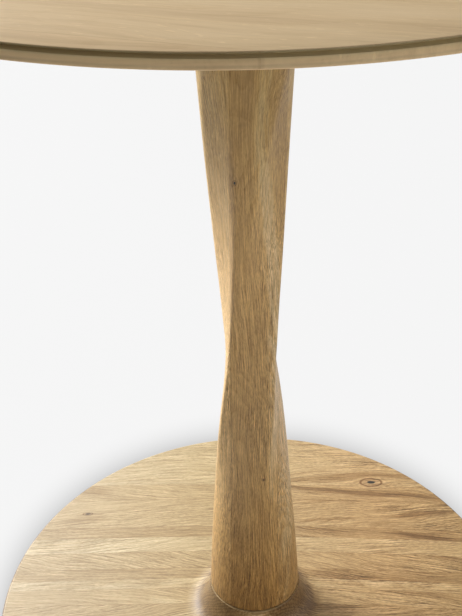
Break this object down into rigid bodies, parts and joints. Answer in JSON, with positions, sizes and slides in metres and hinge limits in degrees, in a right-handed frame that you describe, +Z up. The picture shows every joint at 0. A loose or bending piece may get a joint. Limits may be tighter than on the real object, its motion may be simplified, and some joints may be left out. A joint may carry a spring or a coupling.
{
  "type": "round dining table",
  "caption": "Round oak pedestal table: thin bevelled top, column twisting from a round foot through a square waist to a square head, turned disc base with a weighted underside.",
  "frame": {"origin": "on the floor, under the middle of the table", "axes": "+Z up; -Y is the front, the side that the picture looks at; the tabletop's boards run along X"},
  "size_m": [0.6999, 0.7, 0.76],
  "materials": {
    "oak_top": "matt oil",
    "oak_column": "matt oil",
    "oak_base": "matt oil",
    "beech": "raw",
    "black_steel": "fine-textured powder coat",
    "zinc_steel": "zinc plated",
    "brass": "turned",
    "black_plastic": "moulded"
  },
  "bodies": {
    "table": {"tabletop": "oak_top", "mounting_plate": "black_steel", "tabletop_inserts": "brass", "tabletop_screws": "zinc_steel", "tabletop_washers": "zinc_steel", "column": "oak_column", "column_head_inserts": "brass", "column_head_screws": "zinc_steel", "column_foot_inserts": "brass", "column_foot_bolts": "zinc_steel", "column_foot_washers": "zinc_steel", "centre_dowel": "beech", "base_disc": "oak_base", "ballast_plate": "black_steel", "ballast_screws": "zinc_steel", "glide_sleeves": "zinc_steel"},
    "glide_1": {"glide_1_stem": "zinc_steel", "glide_1_foot": "black_plastic"},
    "glide_2": {"glide_2_stem": "zinc_steel", "glide_2_foot": "black_plastic"},
    "glide_3": {"glide_3_stem": "zinc_steel", "glide_3_foot": "black_plastic"},
    "glide_4": {"glide_4_stem": "zinc_steel", "glide_4_foot": "black_plastic"}
  },
  "joints": [
    {"name": "glide_1_travel", "type": "slide", "parent": "table", "child": "glide_1", "axis": [0, 0, -1], "range_m": [0, 0.008]},
    {"name": "glide_2_travel", "type": "slide", "parent": "table", "child": "glide_2", "axis": [0, 0, -1], "range_m": [0, 0.008]},
    {"name": "glide_3_travel", "type": "slide", "parent": "table", "child": "glide_3", "axis": [0, 0, -1], "range_m": [0, 0.008]},
    {"name": "glide_4_travel", "type": "slide", "parent": "table", "child": "glide_4", "axis": [0, 0, -1], "range_m": [0, 0.008]}
  ]
}
